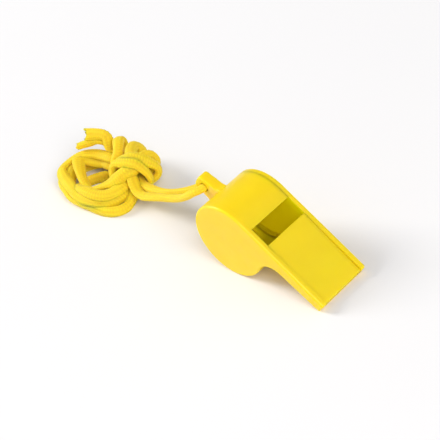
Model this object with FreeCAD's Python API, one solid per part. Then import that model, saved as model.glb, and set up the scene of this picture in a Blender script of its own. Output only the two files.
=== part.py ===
import FreeCAD, Part
import math
import os

# Pea whistle in moulded plastic with a knitted neck cord, in millimetres.
#
# The whistle is drawn in its moulding frame: the barrel axis is Y through the origin, the flat
# top of the mouthpiece is level and the tip points along +X. It is then laid down as it rests on
# a table, on the round of its barrel and the lower edge of its tip, with the table at Z = 0 and
# the origin under the middle of the whistle. The cord is drawn straight into that resting frame.

V = FreeCAD.Vector
Y_AXIS = V(0, 1, 0)

# ---- whistle -------------------------------------------------------------------------------
WIDTH = 19.5                # across the two flat sides
BARREL_R = 12.5             # outside of the round barrel
BARREL_WALL = 1.6
SIDE_WALL = 1.8
MOUTH_LENGTH = 33.2         # barrel axis to the tip
TIP_THICKNESS = 3.6
UNDERSIDE_TAPER = 2.8       # degrees that the underside of the mouthpiece slopes
THROAT_R = 6.2              # hollow curve from the mouthpiece down into the barrel
EDGE_R = 0.7                # rounding of every outside edge

WINDOW_BACK = 3.6           # the sound window, along X from the barrel axis
WINDOW_FRONT = 10.0
LIP_THICKNESS = 0.8         # the edge that splits the air jet
LIP_BEVEL_LENGTH = 4.2

PLATE_STEP_AT_WINDOW = 0.05     # top of the insert below the side walls
PLATE_STEP_AT_TIP = 0.75
PLATE_THICK_AT_WINDOW = 1.4
PLATE_THICK_AT_TIP = 1.0
PLATE_SETBACK = 0.25            # end of the insert behind the tip
PLATE_GAP = 0.02                # each side, filled by the solvent weld
PLATE_EDGE_R = 0.3
SLOT_HEIGHT = 0.95              # the windway
RAIL_WIDTH = 0.7                # ledge that carries the insert along each side wall

SPIGOT_GAP = 0.05               # ring on the side cover that plugs into the barrel
SPIGOT_WALL = 1.15
SPIGOT_DEPTH = 1.2
SPIGOT_CLEAR_OF_WINDOW = 0.6

PEA_R = 4.5
PEA_CLEARANCE = 0.4             # between the pea and the barrel wall
PEA_Y = -3.05                   # it has rolled towards the near side

# ---- cord lug on the back of the barrel ----------------------------------------------------
LUG_WIDTH = 3.4
LUG_END = 19.9                  # behind the barrel axis
LUG_ROOT = 11.6                 # buried in the barrel wall
LUG_TOP_AT_NECK = 2.7
LUG_TOP_AT_END = 1.2
LUG_UNDER_AT_NECK = -4.2
LUG_UNDER_AT_END = -3.5
LUG_CORNER_R = 1.3
LUG_EDGE_R = 0.4
LUG_NECK = 13.4                 # from here to the root its outline flares
LUG_NECK_R = 1.6
LUG_FLARE = 1.3
LUG_HOLE_R = 1.6
LUG_HOLE_X = -16.7
LUG_HOLE_Z = -1.2

# ---- neck cord, in the resting frame -------------------------------------------------------
# One limp knitted cord runs through the lug. Both legs sag to a hank that is wound as an oval
# coil, with a bunch of wraps at its end beside the legs, and the two cut ends stand out of it.
CORD_D = 2.5
LEG_START = 2.9                 # straight out of the lug hole, each way
LEG_NEAR_ROUTE = [(-24.6, -4.7, 20.7), (-28.4, -4.4, 17.5), (-34.8, -2.9, 13.2), (-43.0, -1.6, 9.2),
                  (-51.5, -1.1, 6.0), (-60.0, -1.1, 4.2), (-67.5, -2.2, 3.6)]
LEG_FAR_ROUTE = [(-24.3, 4.6, 20.3), (-27.8, 4.2, 16.8), (-34.2, 2.2, 12.9), (-42.2, 1.1, 9.3),
                 (-50.5, 1.7, 6.4), (-58.5, 2.9, 4.9), (-65.2, 4.4, 4.4)]
TAIL_WIDE_ROUTE = [(-78.2, 7.6, 5.0), (-77.6, 9.2, 10.0), (-79.4, 9.8, 13.6), (-83.4, 9.0, 14.4),
                   (-87.6, 7.2, 14.0)]
TAIL_THIN_ROUTE = [(-80.4, 5.8, 5.0), (-80.2, 6.6, 9.4), (-82.0, 6.6, 11.8), (-85.2, 5.0, 11.6),
                   (-88.6, 3.0, 10.6)]
ARC_SHARE = 0.45                # of the shorter run beside a bend that its arc takes up

COIL_CENTRE = (-77.0, -1.6)
COIL_OUTER = (15.2, 11.5)       # half length along X, half width along Y
COIL_INNER = (4.8, 3.4)
COIL_HEIGHT = 7.6
COIL_ROUND_R = 2.4
WRAP_CENTRE = (-63.5, 8.0)
WRAP_R = 7.2
WRAP_HEIGHT = 12.6
WRAP_TOP_R = 4.5
WRAP_FOOT_R = 1.8

# ---- derived -------------------------------------------------------------------------------
HALF_WIDTH = WIDTH / 2
CHAMBER_R = BARREL_R - BARREL_WALL
CHAMBER_HALF = HALF_WIDTH - SIDE_WALL
TIP_UNDER_Z = BARREL_R - TIP_THICKNESS
PEA_ORBIT_R = CHAMBER_R - PEA_CLEARANCE - PEA_R


def rest_tilt():
    """Nose-down angle at which the barrel and the rounded lower tip edge share one plane."""
    taper = math.radians(UNDERSIDE_TAPER)
    edge_x = MOUTH_LENGTH - EDGE_R
    edge_z = TIP_UNDER_Z + EDGE_R * (1 / math.cos(taper) - math.tan(taper))
    return math.atan2(edge_z, edge_x) + math.asin((BARREL_R - EDGE_R) / math.hypot(edge_x, edge_z))


TILT = rest_tilt()


def level_x(x, z):
    """Horizontal place, in the resting whistle, of a point of the moulding frame."""
    return x * math.cos(TILT) + z * math.sin(TILT)


FRONT_X = level_x(MOUTH_LENGTH - EDGE_R, BARREL_R - EDGE_R) + EDGE_R
BACK_X = level_x(-LUG_END + LUG_CORNER_R, LUG_UNDER_AT_END + LUG_CORNER_R) - LUG_CORNER_R
BARREL_X = -(FRONT_X + BACK_X) / 2


def lay_down(shape):
    """Turn a shape from the moulding frame into the resting frame."""
    placed = shape.copy()
    placed.rotate(V(0, 0, 0), Y_AXIS, math.degrees(TILT))
    placed.translate(V(BARREL_X, 0, BARREL_R))
    return placed


def prism(points, y_low, y_high):
    """Closed outline in the XZ plane, pulled along Y."""
    corners = [V(x, y_low, z) for x, z in points]
    face = Part.Face(Part.makePolygon(corners + corners[:1]))
    return face.extrude(V(0, y_high - y_low, 0))


def cylinder_y(radius, x, z, y_low, y_high):
    return Part.makeCylinder(radius, y_high - y_low, V(x, y_low, z), Y_AXIS)


def block(x_low, x_high, y_low, y_high, z_low, z_high):
    return Part.makeBox(x_high - x_low, y_high - y_low, z_high - z_low, V(x_low, y_low, z_low))


def slope(at_window, at_tip):
    """Height along the mouthpiece, straight from the window's front to the tip."""
    return lambda x: at_window + (at_tip - at_window) * (x - WINDOW_FRONT) / (MOUTH_LENGTH - WINDOW_FRONT)


plate_top = slope(BARREL_R - PLATE_STEP_AT_WINDOW, BARREL_R - PLATE_STEP_AT_TIP)
plate_under = slope(BARREL_R - PLATE_STEP_AT_WINDOW - PLATE_THICK_AT_WINDOW,
                    BARREL_R - PLATE_STEP_AT_TIP - PLATE_THICK_AT_TIP)


def slot_floor(x):
    return plate_under(x) - SLOT_HEIGHT


def outer_body():
    """The outside of the whistle without its lug, all its edges rounded."""
    taper = math.radians(UNDERSIDE_TAPER)
    along = V(math.cos(taper), 0, math.sin(taper))
    across = V(-math.sin(taper), 0, math.cos(taper))
    tip_under = V(MOUTH_LENGTH, 0, TIP_UNDER_Z)
    height = tip_under.dot(across) - THROAT_R
    reach = BARREL_R + THROAT_R
    throat = along * math.sqrt(reach ** 2 - height ** 2) + across * height
    to_barrel = throat * (-1 / reach)
    middle = (to_barrel + across).normalize()

    top = V(0, 0, BARREL_R)
    tip_top = V(MOUTH_LENGTH, 0, BARREL_R)
    throat_front = throat + across * THROAT_R
    throat_middle = throat + middle * THROAT_R
    throat_back = throat + to_barrel * THROAT_R
    barrel_bottom = V(0, 0, -BARREL_R)
    edges = [
        Part.LineSegment(top, tip_top),
        Part.LineSegment(tip_top, tip_under),
        Part.LineSegment(tip_under, throat_front),
        Part.Arc(throat_front, throat_middle, throat_back),
        Part.Arc(throat_back, barrel_bottom, top),
    ]
    outline = Part.Wire([edge.toShape() for edge in edges])
    outline.translate(V(0, -HALF_WIDTH, 0))
    body = Part.Face(outline).extrude(V(0, WIDTH, 0))
    return body.makeFillet(EDGE_R, outside_edges(body))


def outside_edges(body):
    """Every edge but the joints where one face runs smoothly into the next."""
    def is_smooth_joint(edge):
        ends = [vertex.Point for vertex in edge.Vertexes]
        runs_across = abs(ends[0].y - ends[-1].y) > HALF_WIDTH
        return runs_across and ends[0].x < MOUTH_LENGTH - EDGE_R
    return [edge for edge in body.Edges if not is_smooth_joint(edge)]


def cord_lug():
    """The lug, its outline flared where it grows out of the barrel."""
    half = LUG_WIDTH / 2
    outline = [(-LUG_ROOT, LUG_TOP_AT_NECK + LUG_FLARE), (-LUG_NECK, LUG_TOP_AT_NECK),
               (-LUG_END, LUG_TOP_AT_END), (-LUG_END, LUG_UNDER_AT_END),
               (-LUG_NECK, LUG_UNDER_AT_NECK), (-LUG_ROOT, LUG_UNDER_AT_NECK - LUG_FLARE)]
    lug = prism(outline, -half, half)
    for radius, x in ((LUG_CORNER_R, -LUG_END), (LUG_NECK_R, -LUG_NECK)):
        corners = [edge for edge in lug.Edges
                   if edge.BoundBox.YLength > half and abs(edge.BoundBox.XMax - x) < 0.01]
        lug = lug.makeFillet(radius, corners)
    rims = [edge for edge in lug.Edges if edge.BoundBox.YLength < 0.01 and edge.BoundBox.XMin < -LUG_ROOT - 0.01]
    return lug.makeFillet(LUG_EDGE_R, rims)


def with_lug(outer):
    """The whistle's outside with the lug grown onto it and drilled for the cord."""
    inside = cylinder_y(CHAMBER_R + BARREL_WALL / 2, 0, 0, -WIDTH, WIDTH)
    joined = outer.fuse(cord_lug().cut(inside))
    return joined.cut(cylinder_y(LUG_HOLE_R, LUG_HOLE_X, LUG_HOLE_Z, -LUG_WIDTH, LUG_WIDTH))


def chamber():
    """The barrel's inside, open upwards through the sound window."""
    room = cylinder_y(CHAMBER_R, 0, 0, -CHAMBER_HALF, CHAMBER_HALF)
    window = block(WINDOW_BACK, WINDOW_FRONT, -CHAMBER_HALF, CHAMBER_HALF, 0, BARREL_R + EDGE_R)
    bevel_back = WINDOW_BACK - LIP_BEVEL_LENGTH
    bevel = prism([(WINDOW_BACK, 0), (WINDOW_BACK, BARREL_R - LIP_THICKNESS),
                   (bevel_back, math.sqrt(CHAMBER_R ** 2 - bevel_back ** 2)), (bevel_back, 0)],
                  -CHAMBER_HALF, CHAMBER_HALF)
    return room.fuse([window, bevel])


def windway():
    """The slot for the breath, and above it the wider seat that the insert drops into."""
    front = MOUTH_LENGTH + EDGE_R
    seat_top = BARREL_R + EDGE_R
    slot = prism([(WINDOW_FRONT, slot_floor(WINDOW_FRONT)), (front, slot_floor(front)),
                  (front, seat_top), (WINDOW_FRONT, seat_top)],
                 -CHAMBER_HALF + RAIL_WIDTH, CHAMBER_HALF - RAIL_WIDTH)
    seat = prism([(WINDOW_FRONT, plate_under(WINDOW_FRONT)), (front, plate_under(front)),
                  (front, seat_top), (WINDOW_FRONT, seat_top)],
                 -CHAMBER_HALF, CHAMBER_HALF)
    return slot.fuse(seat)


def body_shell(outer):
    """Barrel, near side wall, mouthpiece floor and lug, open on the far side."""
    far_half = block(-BARREL_R * 2, MOUTH_LENGTH * 2, CHAMBER_HALF, WIDTH, -WIDTH, WIDTH)
    return with_lug(outer).cut(far_half).cut(chamber().fuse(windway())).removeSplitter()


def side_cover(outer):
    """The far side wall, with a ring that plugs into the barrel and stops at the window."""
    far_half = block(-BARREL_R * 2, MOUTH_LENGTH * 2, CHAMBER_HALF, WIDTH, -WIDTH, WIDTH)
    wall = outer.common(far_half)
    spigot_r = CHAMBER_R - SPIGOT_GAP
    ring = cylinder_y(spigot_r, 0, 0, CHAMBER_HALF - SPIGOT_DEPTH, CHAMBER_HALF)
    ring = ring.cut(cylinder_y(spigot_r - SPIGOT_WALL, 0, 0, -WIDTH, WIDTH))
    opening = block(WINDOW_BACK - LIP_BEVEL_LENGTH - SPIGOT_CLEAR_OF_WINDOW, BARREL_R,
                    -WIDTH, WIDTH, -SPIGOT_CLEAR_OF_WINDOW, BARREL_R)
    return wall.fuse(ring.cut(opening)).removeSplitter()


def windway_plate():
    """The insert that roofs the windway and forms the front lip of the sound window."""
    front = MOUTH_LENGTH - PLATE_SETBACK
    half = CHAMBER_HALF - PLATE_GAP
    outline = [(WINDOW_FRONT, plate_under(WINDOW_FRONT)), (front, plate_under(front)),
               (front, plate_top(front)), (WINDOW_FRONT, plate_top(WINDOW_FRONT))]
    plate = prism(outline, -half, half)
    lips = [edge for edge in plate.Edges
            if edge.BoundBox.YLength > half and edge.BoundBox.ZMin > plate_top(front) - 0.01]
    return plate.makeFillet(PLATE_EDGE_R, lips)


def pea():
    """The ball, lying at the lowest point of the resting barrel, beside its near wall."""
    return Part.makeSphere(PEA_R, V(BARREL_X, PEA_Y, BARREL_R - PEA_ORBIT_R))


def lug_hole_centre():
    return V(level_x(LUG_HOLE_X, LUG_HOLE_Z) + BARREL_X, 0,
             BARREL_R - LUG_HOLE_X * math.sin(TILT) + LUG_HOLE_Z * math.cos(TILT))


def cord_path(name, points):
    """Straight runs joined by tangent arcs, each as large as its two runs allow."""
    edges = []
    start = points[0]
    radii = []
    for before, corner, after in zip(points, points[1:], points[2:]):
        back = before - corner
        ahead = after - corner
        half_turn = (math.pi - back.getAngle(ahead)) / 2
        trim = ARC_SHARE * min(back.Length, ahead.Length)
        radii.append(trim / math.tan(half_turn))
        back.normalize()
        ahead.normalize()
        arc_start = corner + back * trim
        arc_end = corner + ahead * trim
        inward = (back + ahead).normalize()
        depth = radii[-1] / math.cos(half_turn) - radii[-1]
        edges.append(Part.LineSegment(start, arc_start))
        edges.append(Part.Arc(arc_start, corner + inward * depth, arc_end))
        start = arc_end
    edges.append(Part.LineSegment(start, points[-1]))
    print(name, "bend radii", ", ".join("%.1f" % radius for radius in radii))
    return Part.Wire([edge.toShape() for edge in edges])


def cord_tube(name, points):
    """A round cord along a route, checked against its section times its length."""
    path = cord_path(name, points)
    start = points[0]
    section = Part.Wire(Part.makeCircle(CORD_D / 2, start, points[1] - start))
    tube = path.makePipeShell([section], True, False)
    expected = math.pi * CORD_D ** 2 / 4 * path.Length
    print(name, "length %.1f" % path.Length, "volume %.1f" % tube.Volume, "expected %.1f" % expected)
    return tube


def leg(name, side, route):
    """One leg of the cord, from the middle of the lug hole out to the given side."""
    hole = lug_hole_centre()
    return cord_tube(name, [hole, hole + Y_AXIS * side * LEG_START] + [V(*point) for point in route])


def tail(name, route):
    return cord_tube(name, [V(*point) for point in route])


def coil():
    """Outer shape of the oval hank, flat on the table, with its open eye."""
    centre = V(COIL_CENTRE[0], COIL_CENTRE[1], 0)
    rings = [Part.Wire(Part.Ellipse(centre, half_length, half_width).toShape())
             for half_length, half_width in (COIL_OUTER, COIL_INNER)]
    hank = Part.Face(rings, "Part::FaceMakerCheese").extrude(V(0, 0, COIL_HEIGHT))
    rims = [edge for edge in hank.Edges if edge.BoundBox.ZLength < COIL_ROUND_R]
    return hank.makeFillet(COIL_ROUND_R, rims)


def wraps():
    """Outer shape of the bunch of loops beside the hank."""
    bunch = Part.makeCylinder(WRAP_R, WRAP_HEIGHT, V(WRAP_CENTRE[0], WRAP_CENTRE[1], 0))
    for height, radius in ((WRAP_HEIGHT, WRAP_TOP_R), (0, WRAP_FOOT_R)):
        rim = [edge for edge in bunch.Edges
               if edge.BoundBox.ZLength < 0.01 and abs(edge.BoundBox.ZMin - height) < 0.01]
        bunch = bunch.makeFillet(radius, rim)
    return bunch


def cord_nodes():
    """The cord's solids, each cut back to where it meets the next."""
    hank = coil()
    bunch = wraps().cut(hank)
    body = hank.fuse(bunch)
    return {
        "cord_coil": hank,
        "cord_wrap": bunch,
        "cord_leg_near": leg("cord_leg_near", -1, LEG_NEAR_ROUTE).cut(body),
        "cord_leg_far": leg("cord_leg_far", 1, LEG_FAR_ROUTE).cut(body),
        "cord_tail_wide": tail("cord_tail_wide", TAIL_WIDE_ROUTE).cut(body),
        "cord_tail_thin": tail("cord_tail_thin", TAIL_THIN_ROUTE).cut(body),
    }


def main():
    os.makedirs("parts", exist_ok=True)
    outer = outer_body()
    nodes = {
        "body_shell": lay_down(body_shell(outer)),
        "side_cover": lay_down(side_cover(outer)),
        "windway_plate": lay_down(windway_plate()),
        "pea": pea(),
    }
    nodes.update(cord_nodes())
    for name, shape in nodes.items():
        shape.exportStep("parts/" + name + ".step")
        box = shape.optimalBoundingBox(False)
        print("%-15s" % name, "solids", len(shape.Solids), "valid", shape.isValid(),
              "volume %.1f" % shape.Volume,
              "box x %.2f %.2f  y %.2f %.2f  z %.2f %.2f"
              % (box.XMin, box.XMax, box.YMin, box.YMax, box.ZMin, box.ZMax))
    print("rest tilt %.3f degrees" % math.degrees(TILT), "barrel axis x %.3f" % BARREL_X,
          "lug hole", lug_hole_centre())


main()
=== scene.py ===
import math

import bpy
import numpy as np
from mathutils import Matrix, Vector


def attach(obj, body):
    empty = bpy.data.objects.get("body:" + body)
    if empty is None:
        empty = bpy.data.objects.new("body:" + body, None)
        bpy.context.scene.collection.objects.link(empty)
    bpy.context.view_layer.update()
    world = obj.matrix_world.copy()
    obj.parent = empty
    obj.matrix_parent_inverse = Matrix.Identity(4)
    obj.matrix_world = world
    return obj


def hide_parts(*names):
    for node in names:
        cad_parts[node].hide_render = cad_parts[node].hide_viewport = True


# Yellow pea whistle with its knitted neck cord, laid on a white table. Metres, in the CAD frame.

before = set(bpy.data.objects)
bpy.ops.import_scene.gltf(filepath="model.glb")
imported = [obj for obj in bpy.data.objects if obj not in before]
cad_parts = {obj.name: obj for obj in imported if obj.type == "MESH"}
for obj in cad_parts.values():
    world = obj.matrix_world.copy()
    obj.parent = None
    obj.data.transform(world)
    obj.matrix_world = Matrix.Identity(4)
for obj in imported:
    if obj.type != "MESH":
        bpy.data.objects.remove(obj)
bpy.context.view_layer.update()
scene = bpy.context.scene
MM = 0.001

# ---- camera --------------------------------------------------------------------------------
CAMERA_PLACE = (260.04, -211.19, 289.00)    # mm
CAMERA_AZIMUTH = 53.11                      # degrees, from the front (-Y) round to the right (+X)
CAMERA_ELEVATION = 38.62
CAMERA_ROLL = -16.26
CAMERA_LENS = 123.6
SENSOR = 36.0
CLIP_NEAR, CLIP_FAR = 0.01, 20


def make_camera():
    """A camera at its place that looks along its two angles, and is rolled about that line."""
    azimuth, elevation, roll = map(math.radians, (CAMERA_AZIMUTH, CAMERA_ELEVATION, CAMERA_ROLL))
    back = Vector((math.sin(azimuth) * math.cos(elevation),
                   -math.cos(azimuth) * math.cos(elevation), math.sin(elevation)))
    level = Vector((0, 0, 1)).cross(back).normalized()
    upright = back.cross(level)
    right = level * math.cos(roll) + upright * math.sin(roll)
    up = back.cross(right)
    data = bpy.data.cameras.new("camera")
    data.lens = CAMERA_LENS
    data.sensor_width = SENSOR
    data.clip_start, data.clip_end = CLIP_NEAR, CLIP_FAR
    camera = bpy.data.objects.new("camera", data)
    scene.collection.objects.link(camera)
    turn = Matrix((right, up, back)).transposed()
    camera.matrix_world = Matrix.Translation(Vector(CAMERA_PLACE) * MM) @ turn.to_4x4()
    scene.camera = camera


make_camera()

# ---- cord: the facts -----------------------------------------------------------------------
# All the cord's numbers are in mm until its mesh is made, but for the two lengths.
CORD_D = 2.5
CORD_R = CORD_D / 2
LUG_HOLE = (-22.234, 0.0, 21.539)
LEG_START = 2.9                 # from the lug's middle to where the near leg starts to turn

LEG_NEAR_ROUTE = [(-24.6, -4.7, 20.7), (-28.4, -4.4, 17.5), (-34.8, -2.9, 13.2), (-43.0, -1.6, 9.2),
                  (-51.5, -1.1, 6.0)]
LEG_FAR_ROUTE = [(-23.4, 2.9, 20.4), (-27.8, 4.2, 16.8), (-34.2, 2.2, 12.9), (-42.2, 1.1, 9.3),
                 (-50.5, 1.7, 6.4), (-58.5, 2.9, 4.9)]
TAIL_WIDE_ROUTE = [(-77.9, 8.4, 4.6), (-78.9, 8.6, 9.4), (-79.5, 9.4, 12.6), (-82.6, 8.4, 13.4),
                   (-86.2, 6.2, 13.2)]
TAIL_THIN_ROUTE = [(-80.4, 9.2, 5.0), (-80.8, 9.8, 8.2), (-81.6, 9.2, 10.4), (-84.2, 7.0, 10.8),
                   (-88.4, 3.2, 9.6)]

# The hank, strand by strand. The near leg climbs over the hub, where the wraps cross, and makes the
# first lobe, then it winds three turns of the ring. The last turn dives to the table, crosses the ring's
# eye and comes up behind the ring as the wide tail.
NEAR_CLIMB = [(-57.4, -0.9, 4.2), (-59.4, 0.0, 6.0), (-61.4, 1.4, 8.6), (-63.4, 3.4, 11.0)]
NEAR_LOBE = [(-66.6, 6.6, 12.0), (-69.1, 9.9, 11.8), (-69.9, 12.6, 10.6), (-68.9, 13.9, 9.2),
             (-67.4, 12.9, 8.4), (-66.7, 10.4, 8.0), (-65.0, 7.2, 6.0), (-63.0, 3.4, 3.4)]
NEAR_TURN_1 = [(-61.4, 0.4, 2.6), (-60.0, -2.4, 1.9), (-59.1, -5.8, 1.6), (-61.0, -8.8, 1.5),
               (-65.2, -10.5, 1.5), (-70.2, -10.9, 1.5), (-75.2, -10.8, 1.7), (-80.4, -10.3, 2.1),
               (-84.6, -9.2, 2.6), (-88.0, -8.0, 3.0), (-89.2, -6.0, 3.6), (-87.8, -3.0, 3.4),
               (-88.2, 1.2, 3.2), (-86.6, 4.8, 3.2), (-82.8, 7.6, 3.4), (-78.4, 8.6, 3.6),
               (-73.4, 8.6, 3.0), (-69.0, 6.4, 2.6), (-66.0, 3.0, 2.6)]
NEAR_TURN_2 = [(-63.6, -0.4, 4.2), (-62.7, -3.9, 4.0), (-63.4, -7.1, 3.6), (-65.5, -9.4, 3.6),
               (-68.4, -10.5, 3.8), (-72.2, -10.9, 4.2), (-76.2, -10.7, 4.5), (-80.0, -9.4, 4.8),
               (-84.2, -7.8, 5.0), (-88.4, -6.6, 5.0), (-90.9, -4.4, 5.0), (-90.8, -1.9, 5.3),
               (-88.5, 0.9, 5.9), (-86.5, 3.4, 6.2), (-83.5, 5.6, 6.1), (-80.0, 7.0, 6.0),
               (-76.0, 7.3, 5.8), (-71.8, 6.3, 5.6), (-68.2, 3.8, 5.2), (-65.2, 1.6, 5.6)]
NEAR_TURN_3 = [(-63.2, -0.6, 6.2), (-63.0, -3.4, 6.0), (-64.0, -6.2, 5.8), (-65.8, -8.1, 6.0),
               (-68.4, -9.2, 6.3), (-71.2, -9.5, 6.6), (-74.0, -9.3, 6.5), (-76.6, -8.6, 5.3),
               (-78.8, -7.3, 3.2), (-80.4, -5.6, 1.9), (-81.6, -3.4, 1.4), (-81.0, -1.0, 1.3),
               (-79.2, 1.0, 1.3), (-77.2, 2.9, 1.4), (-77.0, 6.0, 1.6)]

# The far leg passes under the hub, winds two turns the other way, comes up as a wedge over the ring's
# front, makes four wraps round the hub and a small upright bight, and ends in the thin tail.
FAR_TURN_1 = [(-64.2, 5.2, 4.2), (-68.2, 7.8, 4.2), (-73.2, 9.0, 4.6), (-78.8, 8.2, 4.6),
              (-84.0, 6.4, 4.4), (-87.8, 3.6, 4.8), (-88.6, -0.8, 4.6), (-86.2, -5.0, 3.6),
              (-82.0, -8.2, 2.9), (-77.0, -9.6, 2.5), (-71.4, -9.5, 2.3), (-66.8, -8.2, 2.2),
              (-63.6, -4.8, 2.2), (-63.4, -0.6, 2.4), (-66.2, 3.2, 3.6), (-69.4, 5.2, 4.2)]
FAR_TURN_2 = [(-72.4, 5.8, 4.6), (-76.0, 6.4, 4.8), (-80.2, 6.1, 5.2), (-84.4, 4.8, 5.8),
              (-87.0, 2.4, 6.7), (-86.2, 0.4, 7.1), (-83.8, -1.6, 7.0), (-81.0, -3.8, 6.4),
              (-78.2, -5.9, 5.2), (-75.2, -7.3, 4.1), (-72.6, -7.2, 4.2)]
FAR_WEDGE = [(-70.6, -5.4, 5.6), (-67.8, -3.8, 7.0), (-65.2, -1.5, 8.4), (-63.2, 1.0, 10.0),
             (-62.4, 3.9, 11.4)]
FAR_LOBE_1 = [(-62.9, 7.4, 11.2), (-63.8, 11.0, 10.0), (-63.2, 13.4, 8.2), (-61.4, 13.0, 6.8),
              (-60.6, 10.2, 5.6), (-62.0, 6.8, 3.4), (-66.4, 4.0, 1.6), (-69.8, 2.4, 2.6),
              (-70.7, 2.2, 6.0), (-68.6, 2.6, 9.4)]
FAR_LOBE_0 = [(-65.6, 4.4, 11.4), (-63.4, 8.2, 9.0), (-61.4, 10.6, 6.6), (-60.2, 9.6, 3.6),
              (-61.8, 6.4, 1.8), (-65.4, 3.8, 1.5), (-69.4, 2.0, 2.2), (-71.0, 2.2, 5.8),
              (-69.2, 3.0, 9.4)]
FAR_LOBE_2 = [(-64.8, 3.4, 12.4), (-61.2, 6.2, 11.4), (-58.5, 9.4, 9.4), (-57.3, 10.8, 7.2),
              (-57.8, 9.0, 5.0), (-60.6, 5.6, 3.0), (-65.2, 3.0, 1.6), (-69.4, 1.4, 2.4),
              (-71.2, 2.2, 6.2), (-69.4, 3.6, 10.0)]
FAR_LOBE_3 = [(-65.4, 3.4, 13.2), (-61.6, 4.2, 11.6), (-58.4, 6.0, 8.4), (-57.2, 6.8, 5.0),
              (-59.2, 4.8, 2.6), (-63.4, 2.0, 1.5), (-67.6, 0.6, 1.4), (-71.0, 1.4, 2.8),
              (-72.0, 3.2, 6.4)]
FAR_BIGHT = [(-70.2, 4.6, 9.8), (-71.6, 6.6, 11.2), (-74.4, 9.2, 12.2), (-76.1, 10.8, 12.4),
             (-77.1, 12.2, 10.6), (-77.1, 12.8, 6.8), (-77.8, 12.2, 3.2), (-79.4, 10.6, 2.6)]

# The ring's open eye, kept clear of its strands: its middle, and out to the middle of the nearest strand.
EYE_CENTRE = (-76.5, 0.2)
EYE_HALF = (6.3, 4.6)
EYE_FLOOR = 2.4                 # a strand lower than this may lie in the eye


def near_route():
    """From the lug: the near leg, its climb and lobe, and three turns of the ring. Returns the leg, the
    hank's strands, which of all these points the wraps start at, and the tail. This half has no wraps,
    so they start where its strands end."""
    hole = Vector(LUG_HOLE)
    leg = [tuple(hole), (hole.x, -LEG_START, hole.z)] + LEG_NEAR_ROUTE
    strands = NEAR_CLIMB + NEAR_LOBE + NEAR_TURN_1 + NEAR_TURN_2 + NEAR_TURN_3
    return leg, strands, len(leg) + len(strands) - 2, TAIL_WIDE_ROUTE


def far_route():
    """The same for the far half: two turns of the ring, the wedge, four wraps and the small bight."""
    hole = Vector(LUG_HOLE)
    leg = [tuple(hole), (hole.x - 0.1, 2.2, hole.z - 0.4)] + LEG_FAR_ROUTE
    turns = FAR_TURN_1 + FAR_TURN_2 + FAR_WEDGE
    wraps = FAR_LOBE_1 + FAR_LOBE_0 + FAR_LOBE_2 + FAR_LOBE_3 + FAR_BIGHT
    return leg, turns + wraps, len(leg) + len(turns), TAIL_THIN_ROUTE


def spline_points(points, name):
    """Points along the NURBS spline that has these control points."""
    curve = bpy.data.curves.new(name, "CURVE")
    curve.dimensions = "3D"
    spline = curve.splines.new("NURBS")
    spline.points.add(len(points) - 1)
    for point, place in zip(spline.points, points):
        point.co = (*place, 1)
    spline.order_u = 3
    spline.use_endpoint_u = True
    spline.resolution_u = 12
    holder = bpy.data.objects.new(name, curve)
    line = bpy.data.meshes.new_from_object(holder)
    found = np.array([v.co for v in line.vertices])
    bpy.data.objects.remove(holder)
    bpy.data.curves.remove(curve)
    bpy.data.meshes.remove(line)
    return found


def even(points, step):
    """The same line with its points a step apart."""
    gaps = np.linalg.norm(np.diff(points, axis=0), axis=1)
    along = np.concatenate([[0], np.cumsum(gaps)])
    count = int(round(along[-1] / step)) + 1
    places = np.linspace(0, along[-1], count)
    return np.stack([np.interp(places, along, points[:, k]) for k in range(3)], axis=1)


# ---- cord: how it settles ------------------------------------------------------------------
STEP = 1.25                     # between the points that settle
CLEAR = 2.35                    # least distance between two strands' middle lines
PUSH = 0.25                     # share of an overlap that one sweep takes from each strand
FIRM_TURN = 2.42                # least distance between points two steps apart
FIRMNESS = 0.3                  # share of what is missing from it that one sweep gives to each point
NEIGHBOURS = 4                  # points fewer steps apart than this don't push each other
GRAVITY = 0.004
HOME = 0.012                    # pull towards the place where the point was laid
DRAG = 0.8                      # share of its speed that a point keeps
ROUNDS = 160
SWEEPS = 4
LEG_STEPS = 60                  # a leg has fewer steps than this, and a tail than the next
TAIL_STEPS = 24


def keep_eye_open(x, weight):
    """Moves points that are inside the ring's eye out to its edge."""
    across = (x[:, :2] - EYE_CENTRE) / EYE_HALF
    depth = np.linalg.norm(across, axis=1)
    inside = (depth < 1) & (weight > 0) & (x[:, 2] > EYE_FLOOR)
    x[inside, :2] = EYE_CENTRE + across[inside] / np.maximum(depth[inside], 0.05)[:, None] * EYE_HALF


def keep_lengths(x, weight, joined, rest):
    """Brings joined points back to their distance, every other pair at a time."""
    for odd in (0, 1):
        pick = np.nonzero(joined & (np.arange(len(joined)) % 2 == odd))[0]
        d = x[pick + 1] - x[pick]
        length = np.linalg.norm(d, axis=1)
        w0, w1 = weight[pick], weight[pick + 1]
        total = np.maximum(w0 + w1, 1e-9)
        move = d * ((length - rest[pick]) / length / total)[:, None]
        x[pick] += move * w0[:, None]
        x[pick + 1] -= move * w1[:, None]


def keep_turns_open(x, weight, joined):
    """Pushes points two steps apart away from each other where the cord folds too hard."""
    two = np.nonzero(joined[:-1] & joined[1:])[0]
    d = x[two + 2] - x[two]
    length = np.linalg.norm(d, axis=1)
    short = np.maximum(FIRM_TURN - length, 0) * FIRMNESS
    move = d * (short / length)[:, None]
    np.add.at(x, two + 2, move * weight[two + 2][:, None])
    np.add.at(x, two, -move * weight[two][:, None])


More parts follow.
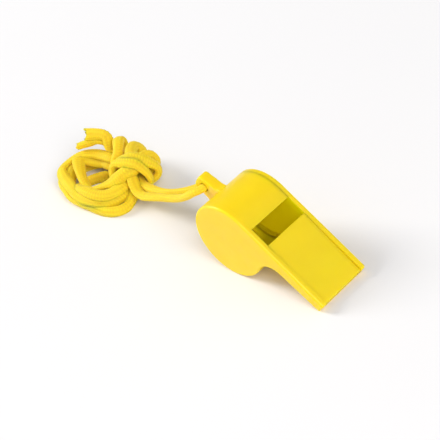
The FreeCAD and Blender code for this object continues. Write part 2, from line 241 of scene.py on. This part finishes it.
def push_apart(x, weight, upper):
    """Moves strands that overlap away from each other. upper marks, once each, the pairs of points that
    aren't neighbours."""
    gap = x[:, None, :] - x[None, :, :]
    far = np.sqrt((gap ** 2).sum(2))
    a, b = np.nonzero(upper & (far < CLEAR))
    if len(a):
        depth = CLEAR - far[a, b]
        push = gap[a, b] / np.maximum(far[a, b], 1e-6)[:, None] * (depth * PUSH)[:, None]
        np.add.at(x, a, push * weight[a][:, None])
        np.add.at(x, b, -push * weight[b][:, None])


def settle(lines, pins):
    """Lets the cord's lines push apart, keep their length and lie down under their weight."""
    x = np.concatenate(lines)
    start = x.copy()
    pinned = np.concatenate(pins)
    owner = np.concatenate([np.full(len(line), k) for k, line in enumerate(lines)])
    index = np.concatenate([np.arange(len(line)) for line in lines])
    joined = owner[:-1] == owner[1:]
    rest = np.linalg.norm(x[1:] - x[:-1], axis=1)
    near = (np.abs(index[:, None] - index[None, :]) < NEIGHBOURS) & (owner[:, None] == owner[None, :])
    upper = np.triu(np.ones((len(x), len(x)), bool), 1) & ~near
    weight = np.where(pinned, 0.0, 1.0)
    before = x.copy()
    for _ in range(ROUNDS):
        speed = (x - before) * DRAG
        before = x.copy()
        x = x + weight[:, None] * (speed + HOME * (start - x))
        x[:, 2] -= weight * GRAVITY
        for _ in range(SWEEPS):
            keep_lengths(x, weight, joined, rest)
            keep_turns_open(x, weight, joined)
            push_apart(x, weight, upper)
            x[:, 2] = np.where(pinned, x[:, 2], np.maximum(x[:, 2], CORD_R))
            keep_eye_open(x, weight)
    ends = np.cumsum([len(line) for line in lines])[:-1]
    return np.split(x, ends)


def nearest(line, place, first=0, last=None):
    """Index of the line's point nearest to a place."""
    return first + int(np.argmin(np.linalg.norm(line[first:last] - np.array(place), axis=1)))


def settled_routes():
    """For each half of the cord, its control points, and how far along it the hank, the wraps and the
    tail start."""
    halves = []
    for name, (leg, strands, wraps_at, tail) in (("near", near_route()), ("far", far_route())):
        points = leg + strands
        line = even(spline_points(points + tail, name), STEP)
        leg_end = nearest(line, leg[-1], 0, LEG_STEPS)
        tail_start = nearest(line, tail[1], len(line) - TAIL_STEPS)
        wraps_start = nearest(line, points[wraps_at], leg_end + LEG_STEPS)
        halves.append((line, leg, leg_end, wraps_start, tail[1:], tail_start))
    pins = []
    for line, _, leg_end, _, _, tail_start in halves:
        index = np.arange(len(line))
        pins.append((index < leg_end) | (index >= tail_start))
    settled = settle([half[0] for half in halves], pins)
    routes = []
    for line, (_, leg, leg_end, wraps_start, tail, tail_start) in zip(settled, halves):
        middle = line[leg_end + 2:tail_start - 1:2]
        routes.append(([tuple(point) for point in (*leg, *middle, *tail)],
                       (leg_end * STEP, wraps_start * STEP, tail_start * STEP)))
    return routes


# ---- cord: the knitted tube ----------------------------------------------------------------
AROUND = 36                     # points round the tube
PATH_STEP = 0.18                # between its rings
SOFT_RUN = 30                   # rings over which one width passes into the next
ROUND_SIZE = 0.97               # of the cord's radius, under the stitches
WALES = 8                       # columns of stitches round the cord
STITCH = 0.85                   # along the cord
SLANT = 0.9                     # of a stitch, from a column's edge to its edge
STITCH_RELIEF = 0.055
WALE_RELIEF = 0.055
TAIL_END = 8.0                  # length of the tail that its cut end loosens
FRAY = 1.6                      # length of it that is ragged
FLOOR_GAP = 0.02                # the tube's skin stays this far above the table

# Width and thickness against the round cord: leg, coil, wraps, tail, cut end.
NEAR_PROFILE = ((1.04, 0.98), (1.62, 0.98), (1.55, 1.0), (1.6, 0.68), (1.85, 0.5))
FAR_PROFILE = ((1.04, 0.96), (1.62, 0.98), (1.6, 1.0), (0.85, 0.8), (1.2, 0.8))

# Which way the cord is pressed flat: the shares that follow its bend, the ring's core and the shown side,
# a row each. Along a row: leg, coil, wraps, tail, cut end. What is left of 1 is pressed from above.
FLAT_SHARES = ((0, 0.1, 0.9, 0, 0), (0, 0.8, 0.1, 0, 0), (0, 0, 0, 1, 1))
SHOWN_SIDE = (0.62, -0.47, 0.62)    # the way that the flat side of the tails and of the wedge looks
WEDGE_RUN = 15.0                # of the far half, before its wraps, that shows its flat side
CORE_CENTRE, CORE_HALF, CORE_Z = (-76.5, -1.4), (11.0, 8.4), 3.4    # the middle line of the ring
BEND_RUN = 3.0                  # the bend and the squeeze are smoothed over these
SQUEEZE_RUN = 4.0


def frames_along(path):
    """Directions along and across a path that turn with it and never spin."""
    tangent = np.gradient(path, axis=0)
    tangent /= np.linalg.norm(tangent, axis=1)[:, None]
    normal = np.zeros_like(path)
    first = np.cross(tangent[0], (0.3, 0.2, 1.0))
    normal[0] = first / np.linalg.norm(first)
    for i in range(1, len(path)):
        n = normal[i - 1] - tangent[i] * np.dot(normal[i - 1], tangent[i])
        normal[i] = n / np.linalg.norm(n)
    return tangent, normal, np.cross(tangent, normal)


def smooth(values, width):
    """Running mean with soft ends, done twice."""
    kernel = np.ones(width) / width
    half = width // 2
    for _ in range(2):
        padded = np.pad(values, half, mode="edge")
        values = np.convolve(padded, kernel, mode="same")[half:][:len(values)]
    return values


def smooth_rows(rows, width):
    return np.column_stack([smooth(rows[:, k], width) for k in range(rows.shape[1])])


def flat_side(path, tangent, normal, side, shares):
    """Angle, across the cord, of the way that it is squeezed. shares are how much of the way is the
    inside of its bend, outwards from the ring's core, and the way that a shown flat side looks."""
    bend = np.gradient(tangent, axis=0)
    bend = bend / np.maximum(np.linalg.norm(bend, axis=1)[:, None], 1e-6)
    bend = smooth_rows(bend, int(BEND_RUN / PATH_STEP))
    spoke = (path[:, :2] - CORE_CENTRE) / CORE_HALF
    core = spoke / np.linalg.norm(spoke, axis=1)[:, None] * CORE_HALF + CORE_CENTRE
    outward = np.column_stack([path[:, :2] - core, path[:, 2] - CORE_Z])
    outward = outward / np.maximum(np.linalg.norm(outward, axis=1)[:, None], 0.5) + (0, 0, 0.3)
    way = (0, 0, 1.0) * (1 - shares.sum(0))[:, None]
    for share, direction in zip(shares, (bend, outward, np.array([SHOWN_SIDE]))):
        way = way + direction * share[:, None]
    doubled = ((way * normal).sum(1) + 1j * (way * side).sum(1)) ** 2
    width = int(SQUEEZE_RUN / PATH_STEP)
    doubled = smooth(doubled.real, width) + 1j * smooth(doubled.imag, width)
    return np.unwrap(np.angle(doubled)) / 2


def knit_relief(theta, s):
    """How far the stitches stand out of the round cord."""
    column = theta[None, :] / (2 * math.pi) * WALES
    across = column - np.floor(column) - 0.5
    stitch = np.cos(2 * math.pi * (s / STITCH - SLANT * np.abs(across)))
    wale = np.cos(2 * math.pi * across) * 0.5 + 0.5
    worn = 0.75 + 0.45 * np.sin(s / 1.9 + 2.0 * np.sin(s / 6.1) + 3 * np.sin(theta)[None, :])
    return STITCH_RELIEF * stitch * worn * (0.35 + 0.65 * wale) + WALE_RELIEF * (wale - 0.6)


def tube_mesh(name, ring, relief):
    """A mesh of rings of points, closed at both ends, that keeps how raised each point is."""
    count = len(ring)
    corner = np.arange(AROUND)
    base = (np.arange(count - 1) * AROUND)[:, None]
    quads = np.stack([base + corner, base + (corner + 1) % AROUND, base + AROUND + (corner + 1) % AROUND,
                      base + AROUND + corner], axis=2).reshape(-1, 4)
    faces = quads.tolist()
    faces.append(list(reversed(range(AROUND))))
    faces.append(list(range((count - 1) * AROUND, count * AROUND)))
    mesh = bpy.data.meshes.new(name)
    mesh.from_pydata((ring.reshape(-1, 3) * MM).tolist(), [], faces)
    mesh.polygons.foreach_set("use_smooth", [True] * len(mesh.polygons))
    raised = np.broadcast_to((relief - relief.min()) / np.ptp(relief), (count, AROUND))
    raised = raised.astype(np.float32).ravel()
    mesh.attributes.new("raised", "FLOAT", "POINT").data.foreach_set("value", raised)
    mesh.update()
    return mesh


def knitted_tube(name, path, marks, profile, shown_run):
    """A tube with columns of slanting stitches in its surface. marks are how far along it the coil, the
    wraps and the tail start, and shown_run is how much before the wraps shows its flat side."""
    tangent, normal, side = frames_along(path)
    along = np.concatenate([[0], np.cumsum(np.linalg.norm(np.diff(path, axis=0), axis=1))])
    total = along[-1]
    coil, wraps, tail = marks
    places = [coil * 0.7, coil + 8, wraps - 6, wraps + 6, tail - 8, tail, total - TAIL_END, total]
    places = np.maximum.accumulate(places) + 0.01 * np.arange(len(places))
    which = [0, 1, 1, 2, 2, 3, 3, 4]        # the profile's entry at each of these places

    def passing(row):
        """A row's values along the cord, each passing softly into the next."""
        return smooth(np.interp(along, places, [row[k] for k in which]), SOFT_RUN)

    uneven = 1 + 0.06 * np.sin(along / 5.3 + 1.0) + 0.05 * np.sin(along / 2.3 + 2.0 * np.sin(along / 7.1))
    wide = passing([row[0] for row in profile]) * uneven
    thick = passing([row[1] for row in profile]) * (2 - uneven)
    shares = np.array([passing(row) for row in FLAT_SHARES])
    shown = smooth(((along > wraps - shown_run) & (along < wraps)) * 1.0, SOFT_RUN)
    shares = shares * (1 - shown) + np.outer((0, 0, 1), shown)
    squeeze = flat_side(path, tangent, normal, side, shares)[:, None]

    theta = np.arange(AROUND) / AROUND * 2 * math.pi
    s = along[:, None]
    relief = knit_relief(theta, s)
    radius = CORD_R * ROUND_SIZE + relief
    angle = theta[None, :] + 0.03 * s + 0.5 * np.sin(s / 19.0)      # the columns wander round the cord
    inward = radius * np.cos(angle - squeeze) * thick[:, None]
    sideways = radius * np.sin(angle - squeeze) * wide[:, None]
    x = inward * np.cos(squeeze) - sideways * np.sin(squeeze)
    y = inward * np.sin(squeeze) + sideways * np.cos(squeeze)
    ring = path[:, None, :] + normal[:, None, :] * x[..., None] + side[:, None, :] * y[..., None]
    ragged = 0.45 * np.sin(3 * theta + 1) + 0.35 * np.sin(7 * theta) + 0.2 * np.sin(13 * theta + 2)
    frayed = np.clip((s - (total - FRAY)) / FRAY, 0, 1) ** 2
    ring += tangent[:, None, :] * (ragged[None, :] * frayed)[..., None]
    ring[..., 2] = np.maximum(ring[..., 2], FLOOR_GAP)

    piece = bpy.data.objects.new(name, tube_mesh(name, ring, relief))
    scene.collection.objects.link(piece)
    return piece


def make_cords():
    """Both halves of the cord, each with the path that its tube follows."""
    made = []
    looks = (("cord_near", NEAR_PROFILE, 0), ("cord_far", FAR_PROFILE, WEDGE_RUN))
    for (name, profile, shown_run), (route, marks) in zip(looks, settled_routes()):
        path = even(spline_points(route, name), PATH_STEP)
        made.append((knitted_tube(name, path, marks, profile, shown_run), path))
    return made


# ---- materials -----------------------------------------------------------------------------
SHELL_LIGHT = (0.985, 0.66, 0.001)
SHELL_DEEP = (0.955, 0.63, 0.001)
# Lighter colour painted on the barrel's inner surfaces and on the pea: a painted glow for the light that
# comes through the thin walls.
SHELL_INSIDE_PAINTED_GLOW = (1.0, 0.68, 0.001)
# Cord colours from the bottom to the top of its stitches; the valleys and slopes are darker as painted
# shade.
CORD_VALLEY_PAINTED_SHADE = (0.80, 0.56, 0.003)
CORD_SLOPE_PAINTED_SHADE = (0.88, 0.65, 0.006)
CORD_TOP = (0.92, 0.70, 0.010)
TABLE_LOW = (0.835, 0.825, 0.83)
TABLE_HIGH = (0.855, 0.845, 0.85)

# The barrel's inner surfaces, which get the painted glow, in metres from its axis and from its middle
# plane. Each pair is where the mask is still full and where it has gone.
BARREL_AXIS = (-0.00814, 0.0125)        # X and Z
CHAMBER_RADIUS = (0.0118, 0.0123)
CHAMBER_SIDE = (0.0084, 0.0090)
WINDOW_RADIUS = (0.0176, 0.0180)
WINDOW_SIDE = (0.0080, 0.0081)
PLATE_SIDE = (0.00794, 0.00790)         # nothing nearer the middle, where the plate is


def new_material(name):
    material = bpy.data.materials.new(name)
    material.use_nodes = True
    nodes = material.node_tree.nodes
    return material, nodes, material.node_tree.links, nodes["Principled BSDF"]


def noise(nodes, links, coords, scale, detail=3.0, roughness=0.55):
    node = nodes.new("ShaderNodeTexNoise")
    node.inputs["Scale"].default_value = scale
    node.inputs["Detail"].default_value = detail
    node.inputs["Roughness"].default_value = roughness
    links.new(coords.outputs["Object"], node.inputs["Vector"])
    return node


def ramp(nodes, links, source, stops):
    node = nodes.new("ShaderNodeValToRGB")
    elements = node.color_ramp.elements
    while len(elements) < len(stops):
        elements.new(0.5)
    for element, (place, colour) in zip(elements, stops):
        element.position = place
        element.color = (*colour, 1)
    links.new(source, node.inputs["Fac"])
    return node


def bump(nodes, links, height, strength, distance, under=None):
    node = nodes.new("ShaderNodeBump")
    node.inputs["Strength"].default_value = strength
    node.inputs["Distance"].default_value = distance
    links.new(height, node.inputs["Height"])
    if under is not None:
        links.new(under.outputs["Normal"], node.inputs["Normal"])
    return node


def fall(nodes, links, value, start, end):
    """1 on start's side and 0 on end's side, with an even passage between them."""
    node = nodes.new("ShaderNodeMapRange")
    for name, number in (("From Min", start), ("From Max", end), ("To Min", 1), ("To Max", 0)):
        node.inputs[name].default_value = number
    links.new(value, node.inputs["Value"])
    return node.outputs["Result"]


def combine(nodes, links, operation, first, second):
    node = nodes.new("ShaderNodeMath")
    node.operation = operation
    links.new(first, node.inputs[0])
    links.new(second, node.inputs[1])
    return node.outputs["Value"]


def inside_barrel(nodes, links, coords):
    """1 on the barrel's inner surfaces, which get a painted glow: a lighter colour that stands in for the
    light that comes through its thin walls.
    """
    place = nodes.new("ShaderNodeVectorMath")
    place.operation = "SUBTRACT"
    place.inputs[1].default_value = (BARREL_AXIS[0], 0, BARREL_AXIS[1])
    links.new(coords.outputs["Object"], place.inputs[0])
    radial = nodes.new("ShaderNodeVectorMath")
    radial.operation = "MULTIPLY"
    radial.inputs[1].default_value = (1, 0, 1)
    links.new(place.outputs["Vector"], radial.inputs[0])
    length = nodes.new("ShaderNodeVectorMath")
    length.operation = "LENGTH"
    links.new(radial.outputs["Vector"], length.inputs[0])
    reach = length.outputs["Value"]
    apart = nodes.new("ShaderNodeSeparateXYZ")
    links.new(place.outputs["Vector"], apart.inputs["Vector"])
    across = nodes.new("ShaderNodeMath")
    across.operation = "ABSOLUTE"
    links.new(apart.outputs["Y"], across.inputs[0])
    aside = across.outputs["Value"]
    round_wall = combine(nodes, links, "MULTIPLY", fall(nodes, links, reach, *CHAMBER_RADIUS),
                         fall(nodes, links, aside, *CHAMBER_SIDE))
    window_side = combine(nodes, links, "MULTIPLY", fall(nodes, links, reach, *WINDOW_RADIUS),
                          fall(nodes, links, aside, *WINDOW_SIDE))
    window_side = combine(nodes, links, "MULTIPLY", window_side, fall(nodes, links, aside, *PLATE_SIDE))
    return combine(nodes, links, "MAXIMUM", round_wall, window_side)


def plastic(name, roughness, scatter):
    """Moulded plastic: slow colour drift, faint flow waves and a fine satin grain."""
    material, nodes, links, shader = new_material(name)
    coords = nodes.new("ShaderNodeTexCoord")
    slow = noise(nodes, links, coords, 90)
    colour = ramp(nodes, links, slow.outputs["Fac"], [(0.3, SHELL_DEEP), (0.7, SHELL_LIGHT)])
    within = inside_barrel(nodes, links, coords)
    # Painted glow: the barrel's inner surfaces, the pea among them, take the lighter inside colour.
    mix = nodes.new("ShaderNodeMix")
    mix.data_type = "RGBA"
    links.new(within, mix.inputs["Factor"])
    links.new(colour.outputs["Color"], mix.inputs["A"])
    mix.inputs["B"].default_value = (*SHELL_INSIDE_PAINTED_GLOW, 1)
    links.new(mix.outputs["Result"], shader.inputs["Base Color"])
    for socket, outer, inner in (("Subsurface Weight", scatter, 1.0), ("Subsurface Scale", 0.003, 0.010)):
        deeper = nodes.new("ShaderNodeMapRange")
        deeper.inputs["To Min"].default_value, deeper.inputs["To Max"].default_value = outer, inner
        links.new(within, deeper.inputs["Value"])
        links.new(deeper.outputs["Result"], shader.inputs[socket])
    patch = noise(nodes, links, coords, 260)
    smoother, rougher = (roughness - 0.05,) * 3, (roughness + 0.06,) * 3
    sheen = ramp(nodes, links, patch.outputs["Fac"], [(0.3, smoother), (0.7, rougher)])
    links.new(sheen.outputs["Color"], shader.inputs["Roughness"])
    waves = bump(nodes, links, slow.outputs["Fac"], 0.25, 0.0004)
    grain = noise(nodes, links, coords, 3200, 2.0)
    fine = bump(nodes, links, grain.outputs["Fac"], 0.12, 0.00006, waves)
    links.new(fine.outputs["Normal"], shader.inputs["Normal"])
    shader.inputs["Subsurface Radius"].default_value = (1.0, 0.9, 0.12)
    shader.inputs["IOR"].default_value = 1.47
    return material


def cord_material():
    """Knitted polyester: painted shade darkens the valleys between the stitches; matt, with a soft sheen
    and fine fibres.
    """
    material, nodes, links, shader = new_material("knitted_polyester")
    coords = nodes.new("ShaderNodeTexCoord")
    raised = nodes.new("ShaderNodeAttribute")
    raised.attribute_name = "raised"
    # Painted shade: the stitches darken from top to valley with how raised the surface is.
    stitch_shade = ramp(nodes, links, raised.outputs["Fac"],
                    [(0.0, CORD_VALLEY_PAINTED_SHADE), (0.45, CORD_SLOPE_PAINTED_SHADE), (1.0, CORD_TOP)])
    fibres = noise(nodes, links, coords, 5200, 2.0)
    patches = noise(nodes, links, coords, 160)
    tint = ramp(nodes, links, patches.outputs["Fac"], [(0.3, (0.93, 0.91, 0.86)), (0.7, (1, 1, 1))])
    mix = nodes.new("ShaderNodeMix")
    mix.data_type = "RGBA"
    mix.blend_type = "MULTIPLY"
    mix.inputs["Factor"].default_value = 1
    links.new(stitch_shade.outputs["Color"], mix.inputs["A"])
    links.new(tint.outputs["Color"], mix.inputs["B"])
    links.new(mix.outputs["Result"], shader.inputs["Base Color"])
    fine = bump(nodes, links, fibres.outputs["Fac"], 0.5, 0.00008)
    links.new(fine.outputs["Normal"], shader.inputs["Normal"])
    shader.inputs["Roughness"].default_value = 0.75
    shader.inputs["Sheen Weight"].default_value = 0.12
    shader.inputs["Sheen Roughness"].default_value = 0.5
    shader.inputs["Sheen Tint"].default_value = (1, 0.92, 0.6, 1)
    shader.inputs["Subsurface Weight"].default_value = 0.8
    shader.inputs["Subsurface Radius"].default_value = (1.0, 0.75, 0.1)
    shader.inputs["Subsurface Scale"].default_value = 0.0016
    return material


def floor_material():
    """A white table top, matt, with hardly a change in its tone."""
    material, nodes, links, shader = new_material("white_table")
    coords = nodes.new("ShaderNodeTexCoord")
    soft = noise(nodes, links, coords, 4)
    tone = ramp(nodes, links, soft.outputs["Fac"], [(0.2, TABLE_LOW), (0.8, TABLE_HIGH)])
    links.new(tone.outputs["Color"], shader.inputs["Base Color"])
    shader.inputs["Roughness"].default_value = 0.9
    shader.inputs["Specular IOR Level"].default_value = 0.2
    return material


def paint(piece, material):
    piece.data.materials.clear()
    piece.data.materials.append(material)


whistle_plastic = plastic("moulded_yellow", 0.36, 0.7)
pea_plastic = plastic("pea_yellow", 0.5, 0.8)
for node in ("body_shell", "side_cover", "windway_plate"):
    paint(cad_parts[node], whistle_plastic)
paint(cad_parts["pea"], pea_plastic)

(cord_near, near_path), (cord_far, far_path) = make_cords()
knit = cord_material()
for piece in (cord_near, cord_far):
    paint(piece, knit)
    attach(piece, "whistle")
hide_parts("cord_leg_near", "cord_coil", "cord_tail_wide")
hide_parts("cord_leg_far", "cord_wrap", "cord_tail_thin")

# ---- table and light -----------------------------------------------------------------------
TABLE_HALF = 3.0
LIGHT_DISTANCE = 2.0
LIGHT_AIM = (-0.03, 0, 0)       # between the whistle and the hank
KEY_WAY = (-0.93, -0.37)        # over the ground, from the whistle to the light
KEY_ELEVATION = 32
KEY_SIZE, KEY_POWER = 0.8, 27
FRONT_WAY = (0.80, -0.25, 0.76)     # a large soft light beside the camera
FRONT_SIZE, FRONT_POWER = 1.4, 25
TENT_WAY = (-0.62, 0.47, 0.62)      # the way from the tent's front to its back
TENT_FRONT, TENT_SIDE, TENT_BACK = 0.54, 0.47, 0.34


def make_floor():
    mesh = bpy.data.meshes.new("table")
    half = TABLE_HALF
    corners = [(-half, -half, 0), (half, -half, 0), (half, half, 0), (-half, half, 0)]
    mesh.from_pydata(corners, [], [(0, 1, 2, 3)])
    table = bpy.data.objects.new("table", mesh)
    scene.collection.objects.link(table)
    paint(table, floor_material())


def area_light(name, direction, size, power):
    """A round soft box that faces the object from a direction."""
    way = Vector(direction).normalized()
    data = bpy.data.lights.new(name, "AREA")
    data.shape = "DISK"
    data.size = size
    data.energy = power
    light = bpy.data.objects.new(name, data)
    scene.collection.objects.link(light)
    light.location = way * LIGHT_DISTANCE + Vector(LIGHT_AIM)
    light.rotation_mode = "QUATERNION"
    light.rotation_quaternion = way.to_track_quat("Z", "Y")


def make_light():
    """A soft light low on the left and a large one in front, inside a dim white tent."""
    rise = math.radians(KEY_ELEVATION)
    over = math.cos(rise)
    area_light("key", (KEY_WAY[0] * over, KEY_WAY[1] * over, math.sin(rise)), KEY_SIZE, KEY_POWER)
    area_light("front", FRONT_WAY, FRONT_SIZE, FRONT_POWER)
    world = bpy.data.worlds.new("studio")
    scene.world = world
    world.use_nodes = True
    nodes, links = world.node_tree.nodes, world.node_tree.links
    coords = nodes.new("ShaderNodeTexCoord")
    facing = nodes.new("ShaderNodeVectorMath")
    facing.operation = "DOT_PRODUCT"
    facing.inputs[1].default_value = TENT_WAY
    links.new(coords.outputs["Generated"], facing.inputs[0])
    tent = ramp(nodes, links, facing.outputs["Value"],
                [(0.0, (TENT_FRONT,) * 3), (0.45, (TENT_SIDE,) * 3), (0.85, (TENT_BACK,) * 3)])
    links.new(tent.outputs["Color"], nodes["Background"].inputs["Color"])
    nodes["Background"].inputs["Strength"].default_value = 1.0


make_floor()
make_light()
scene.view_settings.view_transform = "Standard"
